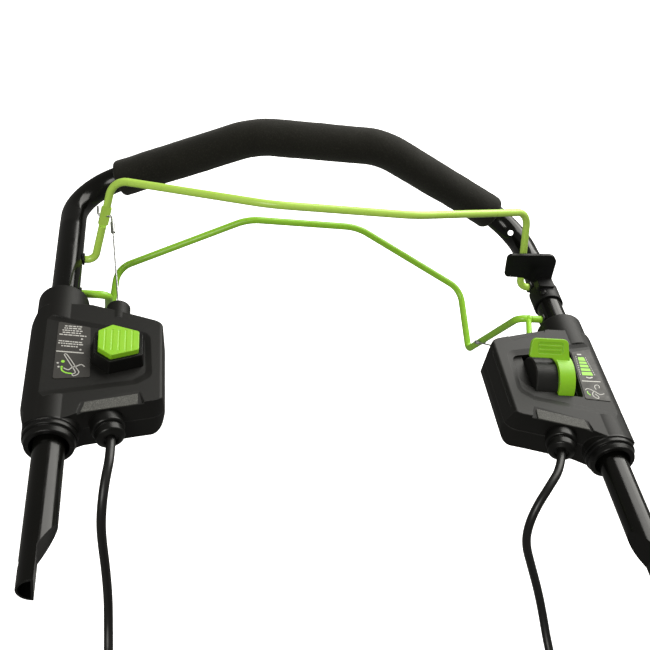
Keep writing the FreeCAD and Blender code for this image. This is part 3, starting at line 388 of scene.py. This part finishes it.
def smooth_black(name, roughness, colour=(0.006, 0.006, 0.0055)):
    """Smooth black moulding or rubber: uneven polish, dust and a painted highlight that makes the edges
    paler.
    """
    surface = Surface(name, colour, roughness, Specular_IOR_Level=0.27)
    surface.soft_edges(0.0005)
    surface.mottle(surface.noise(1800.0, 2.0, 0.5), 0.67, 0.8, 0.5, (0.05, 0.05, 0.047))
    # Painted highlight: the rounded edges are tinted paler, as rims that catch the light.
    surface.mottle(surface.edge_mask(0.0006, 0.1), 0.0, 1.0, 0.5, (0.05, 0.05, 0.046))
    surface.rough(surface.noise(70.0, 4.0, 0.6), 0.3, 0.7, roughness * 0.8, roughness * 1.25)
    surface.bump(surface.noise(700.0, 3.0, 0.5), 0.00003, 0.35)
    return surface


def printed_film(name):
    """Fine-textured printed film of the label panels."""
    surface = Surface(name, (0.032, 0.03, 0.027), 0.55)
    surface.mottle(surface.noise(2200.0, 3.0, 0.6), 0.5, 0.7, 0.7, (0.055, 0.05, 0.045))
    surface.bump(surface.noise(2000.0, 2.0, 0.6), 0.00003, 0.5)
    surface.rough(surface.noise(100.0, 3.0, 0.6), 0.3, 0.7, 0.48, 0.64)
    return surface


dress(housing_shell("housing_plastic", (0.0072, 0.007, 0.0062)),
      "start_housing_top", "start_housing_bottom", "speed_housing_top", "speed_housing_bottom")
dress(speckled_trim("speckled_trim"), "start_trim_strip", "speed_trim_strip")
dress(green_plastic("control_green"), "start_button", "speed_lever")
dress(smooth_black("gland_rubber", 0.33), "start_cable_gland", "speed_cable_gland")
dress(smooth_black("bezel_gloss", 0.3), "start_button_bezel")
dress(smooth_black("drum_satin", 0.42, (0.014, 0.014, 0.013)), "speed_drum", "speed_axle")
dress(smooth_black("nylon_bush", 0.4, (0.012, 0.012, 0.012)), "drive_bail_bushes", "blade_bail_bushes",
      "start_button_carrier", "start_cable_tie", "speed_cable_tie")
dress(printed_film("label_film"), "start_label_panel", "speed_label_panel")
dress(moulded("switch_plastic", (0.03, 0.03, 0.034), 0.45), "start_microswitch", "drive_microswitch",
      "speed_sensor")
dress(moulded("connector_plastic", (0.11, 0.11, 0.108), 0.45, grain=1200.0), "start_cable_connector",
      "speed_cable_connector")


# ------------------------------------------------------------------ cable jacket and foam
def cable_jacket(name):
    """Satin rubber jacket, a little uneven, with talc dust."""
    surface = Surface(name, (0.0085, 0.0085, 0.008), 0.36)
    surface.mottle(surface.noise(1400.0, 2.0, 0.5), 0.64, 0.8, 0.5, (0.045, 0.045, 0.042))
    surface.rough(surface.noise(55.0, 4.0, 0.6), 0.3, 0.7, 0.3, 0.46)
    surface.bump(surface.noise(260.0, 3.0, 0.5), 0.00008, 0.3)
    return surface


def closed_cell_foam(name):
    """Near-black foam: open pores in the skin, a soft sheen and slightly greyed high spots."""
    surface = Surface(name, (0.0125, 0.012, 0.0092), 0.92, Specular_IOR_Level=0.18,
                      Sheen_Weight=0.12, Sheen_Roughness=0.5)
    pores = surface.cells(900.0)
    grain = surface.noise(700.0, 4.0, 0.65)
    surface.mottle(surface.noise(26.0, 4.0, 0.6), 0.4, 0.75, 0.6, (0.018, 0.0175, 0.0135))
    surface.mottle(grain, 0.52, 0.72, 0.8, (0.03, 0.029, 0.0235))
    surface.bump(pores, 0.00022, 0.5)
    surface.bump(grain, 0.00025, 0.6)
    return surface


dress(cable_jacket("cable_jacket"), "start_lead", "speed_lead")

FOAM_RADIUS = 19.0
BORE_RADIUS = 12.75
END_ROUND = 4.5
FOAM_SPACING = 1.6
FOAM_AROUND = 72
# The sleeve's line: x, y, z of its ends and corners in millimetres, and the bend's radius at each.
FOAM_PATH = [
    (-197.0, 165.6, 15.8, 0.0),
    (-65.5, 155.6, 87.1, 75.0),
    (65.5, 155.6, 87.1, 75.0),
    (198.0, 165.7, 15.2, 45.0),
    (209.4, 164.3, 9.0, 0.0),
]


def bent_line(corners, spacing):
    """Evenly fine points and directions along straight runs joined by tangent arcs."""
    points = [Vector(corner[:3]) for corner in corners]
    line = []

    def straight(begin, end):
        count = max(2, round((end - begin).length / spacing))
        heading = (end - begin).normalized()
        line.extend((begin.lerp(end, step / count), heading) for step in range(count))

    begin = points[0]
    for before, here, after, corner in zip(points, points[1:], points[2:], corners[1:]):
        arriving, leaving = (here - before).normalized(), (after - here).normalized()
        half_turn = arriving.angle(leaving) / 2
        reach = corner[3] * math.tan(half_turn)
        arc_begin = here - arriving * reach
        straight(begin, arc_begin)
        axis = arriving.cross(leaving).normalized()
        centre = here + (leaving - arriving).normalized() * corner[3] / math.cos(half_turn)
        count = max(4, round(2 * half_turn * corner[3] / spacing))
        for step in range(count):
            turn = Matrix.Rotation(2 * half_turn * step / count, 3, axis)
            line.append((centre + turn @ (arc_begin - centre), turn @ arriving))
        begin = here + leaving * reach
    straight(begin, points[-1])
    line.append((points[-1], (points[-1] - points[-2]).normalized()))
    return line


def mesh_object(name, vertices, faces):
    """A new mesh in the scene."""
    mesh = bpy.data.meshes.new(name)
    mesh.from_pydata(vertices, [], faces)
    made = bpy.data.objects.new(name, mesh)
    bpy.context.scene.collection.objects.link(made)
    return made


def foam_swell(place):
    """How far the foam's skin stands out in millimetres: wide swells, small ones and an even shrink."""
    return noise.noise(place * 0.045) * 0.45 + noise.noise(place * 0.16) * 0.16 - 0.35


def foam_rings():
    """Centre, direction and radius of each ring: the outer skin with rounded ends, then the bore back."""
    line = bent_line(FOAM_PATH, FOAM_SPACING)
    total = sum((b[0] - a[0]).length for a, b in zip(line, line[1:]))
    rings = []
    travelled = 0.0
    for index, (point, heading) in enumerate(line):
        if index:
            travelled += (point - line[index - 1][0]).length
        from_end = min(travelled, total - travelled)
        inset = max(0.0, END_ROUND - from_end)
        radius = FOAM_RADIUS - END_ROUND + math.sqrt(max(0.0, END_ROUND ** 2 - inset ** 2))
        rings.append((point, heading, radius))
    return rings + [(point, heading, BORE_RADIUS) for point, heading, _ in reversed(rings)]


def foam_sleeve():
    """Foam sleeve on the tube: rounded cut ends and the slight dents and swells of soft foam."""
    rings = foam_rings()
    vertices, faces = [], []
    for point, heading, radius in rings:
        side = heading.cross(Vector((0, 0, 1))).normalized()
        lift = side.cross(heading)
        for step in range(FOAM_AROUND):
            angle = 2 * math.pi * step / FOAM_AROUND
            out = side * math.cos(angle) + lift * math.sin(angle)
            swell = foam_swell(point + out * radius) if radius > BORE_RADIUS else 0.0
            vertices.append(at(*(point + out * (radius + swell))))
    for ring in range(len(rings)):
        low, high = ring * FOAM_AROUND, (ring + 1) % len(rings) * FOAM_AROUND
        for step in range(FOAM_AROUND):
            following = (step + 1) % FOAM_AROUND
            faces.append((low + step, low + following, high + following, high + step))
    sleeve = mesh_object("foam_sleeve", vertices, faces)
    sleeve.data.shade_smooth()
    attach(sleeve, "root")
    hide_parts("foam_grip")


foam_sleeve()
dress(closed_cell_foam("closed_cell_foam"), "foam_sleeve")


# ------------------------------------------------------------------ prints on the label panels
PANEL_TOP = 19.9
INK_SUNK, INK_PROUD = 0.01, 0.04
ROW_HEIGHT = 1.25
BAR_LENGTHS = (1.0, 3.6)
BAR_GAPS = (0.45, 0.8)


def printed(name, surface, shapes):
    """One piece made of flat closed shapes, each a list of (x, y) corners in millimetres."""
    vertices, faces = [], []
    for shape in shapes:
        area = sum(a[0] * b[1] - b[0] * a[1] for a, b in zip(shape, shape[1:] + shape[:1]))
        corners = shape if area > 0 else shape[::-1]
        base, count = len(vertices), len(corners)
        vertices += [at(x, y, PANEL_TOP - INK_SUNK) for x, y in corners]
        vertices += [at(x, y, PANEL_TOP + INK_PROUD) for x, y in corners]
        faces.append(tuple(base + count + step for step in range(count)))
        faces.append(tuple(base + step for step in reversed(range(count))))
        for step in range(count):
            following = (step + 1) % count
            faces.append((base + step, base + following, base + count + following, base + count + step))
    piece = mesh_object(name, vertices, faces)
    piece.data.materials.append(surface.material)
    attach(piece, "root")


def smoothed(points, steps=6):
    """Points of a smooth curve through a few points."""
    padded = [points[0]] + list(points) + [points[-1]]
    made = []
    for a, b, c, d in zip(padded, padded[1:], padded[2:], padded[3:]):
        for step in range(steps):
            t = step / steps
            made.append(tuple(
                0.5 * (2 * b[k] + (c[k] - a[k]) * t + (2 * a[k] - 5 * b[k] + 4 * c[k] - d[k]) * t * t
                       + (3 * b[k] - a[k] - 3 * c[k] + d[k]) * t ** 3) for k in (0, 1)))
    return made + [tuple(points[-1])]


def line_of_ink(points, width):
    """Ribbons of the width asked for along the points, one short quad for each step."""
    left, right = [], []
    for index, point in enumerate(points):
        before, after = points[max(index - 1, 0)], points[min(index + 1, len(points) - 1)]
        run = Vector((after[0] - before[0], after[1] - before[1])).normalized()
        left.append((point[0] - run.y * width / 2, point[1] + run.x * width / 2))
        right.append((point[0] + run.y * width / 2, point[1] - run.x * width / 2))
    return [[left[i], left[i + 1], right[i + 1], right[i]] for i in range(len(points) - 1)]


def disc(x, y, radius, sides=20):
    """A round dot."""
    turns = [2 * math.pi * step / sides for step in range(sides)]
    return [(x + radius * math.cos(turn), y + radius * math.sin(turn)) for turn in turns]


def bar_row(rng, start, end):
    """A row of uneven short bars that stands for a line of small print."""
    shapes = []
    x, y = start
    rise = (end[1] - start[1]) / (end[0] - start[0])
    while x < end[0] - BAR_GAPS[1]:
        wide = min(rng.uniform(*BAR_LENGTHS), end[0] - x)
        near, far = y + rise * (x - start[0]), y + rise * (x + wide - start[0])
        shapes.append([(x, near), (x + wide, far), (x + wide, far - ROW_HEIGHT), (x, near - ROW_HEIGHT)])
        x += wide + rng.uniform(*BAR_GAPS)
    return shapes


def ink(name, colour, worn):
    """Screen-printed ink, a little thin in places."""
    surface = Surface(name, colour, 0.5)
    surface.mottle(surface.noise(1600.0, 3.0, 0.6), 0.45, 0.72, 0.75, worn)
    surface.bump(surface.noise(2200.0, 2.0, 0.6), 0.00002, 0.4)
    return surface


WHITE_INK = ink("white_ink", (0.62, 0.61, 0.58), (0.33, 0.32, 0.3))
GREEN_INK = ink("green_ink", (0.34, 0.78, 0.06), (0.26, 0.62, 0.04))
LEVER_OUTLINE = [(-233.6, -101.6), (-231.6, -101.2), (-226.4, -110.0), (-222.8, -117.0), (-220.5, -121.4),
                 (-221.8, -124.4), (-224.6, -126.0), (-225.7, -124.2), (-223.4, -121.6), (-227.4, -113.4),
                 (-233.6, -101.6)]
# The speed bars lie between two slanting sides. Each side has its x at the top and at the bottom.
SPEED_BARS = [(-74.0, -78.8), (-80.0, -82.9), (-84.2, -87.6), (-89.0, -92.4), (-93.8, -98.2)]
BARS_TOP, BARS_HEIGHT = -74.0, 24.2
BARS_LEFT, BARS_RIGHT = (234.2, 231.2), (240.2, 242.0)
# The thin lines beside them: dashes, and the shares of the line left open before and after each one.
DASHES, OPEN_BEFORE, OPEN_AFTER = 9, 0.012, 0.035


def start_panel_prints():
    """Rows of bars, dots, and a lever's outline with a wave across it and an arrow."""
    rng = random.Random(11)
    rows = [((-235.3, -65.7), (-221.0, -66.2)), ((-235.6, -68.4), (-221.0, -68.9)),
            ((-237.0, -71.0), (-220.0, -71.8)), ((-236.6, -73.8), (-220.6, -74.6)),
            ((-239.2, -76.4), (-216.0, -77.8)), ((-239.2, -84.4), (-219.0, -85.8)),
            ((-239.4, -87.2), (-219.0, -88.4)), ((-236.6, -90.4), (-222.0, -91.2))]
    white = [shape for start, end in rows for shape in bar_row(rng, start, end)]
    white.append([(-240.2, -97.2), (-217.8, -98.3), (-217.8, -99.5), (-240.2, -98.4)])
    white += [disc(-220.2, -82.0, 0.95), disc(-220.8, -95.0, 0.95)]
    white += [disc(-238.0, -111.8, 0.9), disc(-237.1, -116.2, 0.95)]
    white += line_of_ink(smoothed(LEVER_OUTLINE), 0.75)
    wave = [(-232.9, -117.4), (-229.1, -119.3), (-226.2, -116.4), (-222.8, -114.8), (-219.1, -112.6),
            (-216.2, -114.9)]
    white += line_of_ink(smoothed(wave), 0.95)
    printed("start_panel_marks", WHITE_INK, white)
    arc = [(-234.6, -117.2), (-234.2, -120.0), (-231.8, -122.2), (-228.8, -123.2), (-225.8, -123.4)]
    tip = [(-236.0, -116.8), (-233.0, -116.8), (-234.4, -114.8)]
    green = line_of_ink(smoothed(arc), 1.3) + [tip, disc(-234.0, -109.8, 1.5)]
    printed("start_panel_arrow", GREEN_INK, green)


def on_side(side, y):
    """The point of a slanting side at this y."""
    return side[0] + (side[1] - side[0]) * (BARS_TOP - y) / BARS_HEIGHT, y


def dashed_line(begin, end):
    """A thin line of dashes with small gaps between them."""
    shapes = []
    for step in range(DASHES):
        ends = step / DASHES + OPEN_BEFORE, (step + 1) / DASHES - OPEN_AFTER
        run = [tuple(b + (e - b) * share for b, e in zip(begin, end)) for share in ends]
        shapes += line_of_ink(run, 0.6)
    return shapes


def speed_panel_prints():
    """Bars between dashed lines, a few strokes, and a hand on a lever with its arrow."""
    bars = [[on_side(BARS_LEFT, top), on_side(BARS_RIGHT, top),
             on_side(BARS_RIGHT, low), on_side(BARS_LEFT, low)] for top, low in SPEED_BARS]
    printed("speed_panel_bars", GREEN_INK, bars)
    white = dashed_line((232.5, -72.6), (229.3, -98.8)) + dashed_line((241.7, -73.4), (243.9, -98.4))
    white += line_of_ink([(234.4, -70.6), (238.9, -70.3)], 1.6)
    white += line_of_ink(smoothed([(234.2, -100.6), (237.2, -101.6), (240.6, -100.4)]), 1.5)
    white += line_of_ink([(228.4, -105.8), (246.7, -106.0)], 1.1)
    hand = [(228.0, -117.4), (231.0, -115.4), (236.1, -118.2), (240.7, -122.4), (245.3, -121.2)]
    knob = [(239.0, -116.2), (238.6, -112.6), (241.0, -110.4), (243.4, -111.6), (242.6, -114.4)]
    lever = [(236.4, -117.6), (233.4, -122.6), (234.6, -126.2), (237.6, -127.6), (238.4, -125.4),
             (236.2, -122.0)]
    for shape in (hand, knob, lever):
        white += line_of_ink(smoothed(shape), 0.7)
    printed("speed_panel_marks", WHITE_INK, white)
    arc = [(229.6, -118.8), (229.4, -121.4), (231.2, -123.8)]
    printed("speed_panel_arrow", GREEN_INK, line_of_ink(smoothed(arc), 1.0))


start_panel_prints()
speed_panel_prints()


# ------------------------------------------------------------------ pieces inside the housings
def window_screen():
    """Dark sheet behind the lever's window that stands in for shade inside the housing: it keeps daylight
    from the slot behind it out of view.
    """
    low, high = at(171.0, -67.4, -17.0), at(221.0, -66.0, 16.5)
    outline = [(low.x, low.y), (high.x, low.y), (high.x, high.y), (low.x, high.y)]
    corners = [(x, y, z) for z in (low.z, high.z) for x, y in outline]
    sides = [(step, (step + 1) % 4, (step + 1) % 4 + 4, step + 4) for step in range(4)]
    screen = mesh_object("window_screen", corners, [(3, 2, 1, 0), (4, 5, 6, 7)] + sides)
    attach(screen, "root")


def button_spring():
    """Return spring under the start button, made as a fixed coil that does not shorten with the button."""
    turns, radius, wire_radius, height = 5, 5.6, 0.5, 11.0
    base = Vector((-190.5, -98.0, 7.5))
    steps, around = turns * 32, 8
    vertices, faces = [], []
    for step in range(steps + 1):
        angle = 2 * math.pi * turns * step / steps
        outward = Vector((math.cos(angle), math.sin(angle), 0))
        centre = base + outward * radius + Vector((0, 0, height * step / steps))
        for part in range(around):
            turn = 2 * math.pi * part / around
            skin = outward * math.cos(turn) + Vector((0, 0, math.sin(turn)))
            vertices.append(at(*(centre + skin * wire_radius)))
    for step in range(steps):
        for part in range(around):
            following = (part + 1) % around
            low, high = step * around, (step + 1) * around
            faces.append((low + part, high + part, high + following, low + following))
    faces.append(tuple(range(around)))
    faces.append(tuple(steps * around + part for part in reversed(range(around))))
    spring = mesh_object("button_spring", vertices, faces)
    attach(spring, "root")
    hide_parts("start_button_spring")
    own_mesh(spring)


window_screen()
button_spring()
# The black sheet behind the lever's window is painted shade, put where the housing's inside would be dark.
dress(smooth_black("shade_sheet_black", 0.5), "window_screen")
dress(zinc("spring_steel"), "button_spring")


# ------------------------------------------------------------------ stage and light
HANDLE_MIDDLE = Vector((0.0, 0.2, 0.0))
LAMP_COLOUR = (1.0, 0.985, 0.935)
SKY_COLOUR = (1.0, 0.985, 0.93)
SKY_STRENGTH = 0.17


def add_floor():
    """A large pale floor under the coiled cables; it throws no light back on the object."""
    half = 6.0
    corners = [(-half, -half, FLOOR_Z), (half, -half, FLOOR_Z), (half, half, FLOOR_Z), (-half, half, FLOOR_Z)]
    floor = mesh_object("floor", corners, [(0, 1, 2, 3)])
    surface = Surface("pale_floor", (0.92, 0.92, 0.915), 0.85, Specular_IOR_Level=0.1)
    surface.bump(surface.noise(60.0, 3.0, 0.5), 0.0001, 0.1)
    surface.shader.inputs["Emission Color"].default_value = (1, 1, 1, 1)
    surface.shader.inputs["Emission Strength"].default_value = 0.95
    floor.visible_diffuse = False
    floor.visible_glossy = False
    floor.data.materials.append(surface.material)


def add_light(name, place, size, power):
    """Soft rectangular light that faces the middle of the handle."""
    data = bpy.data.lights.new(name, "AREA")
    data.shape = "RECTANGLE"
    data.size, data.size_y = size
    data.energy = power
    data.color = LAMP_COLOUR
    lamp = bpy.data.objects.new(name, data)
    bpy.context.scene.collection.objects.link(lamp)
    aim = HANDLE_MIDDLE - Vector(place)
    lamp.matrix_world = Matrix.Translation(place) @ aim.to_track_quat("-Z", "Y").to_matrix().to_4x4()


def add_sky():
    """Weak even light from all round."""
    world = bpy.data.worlds.new("studio")
    world.use_nodes = True
    background = world.node_tree.nodes["Background"]
    background.inputs["Color"].default_value = (*SKY_COLOUR, 1)
    background.inputs["Strength"].default_value = SKY_STRENGTH
    bpy.context.scene.world = world


add_floor()
add_light("key_softbox", (1.15, 1.4, 1.45), (1.9, 2.3), 72.0)
add_light("front_fill", (-1.2, -1.6, 1.6), (1.4, 1.1), 36.0)
add_sky()
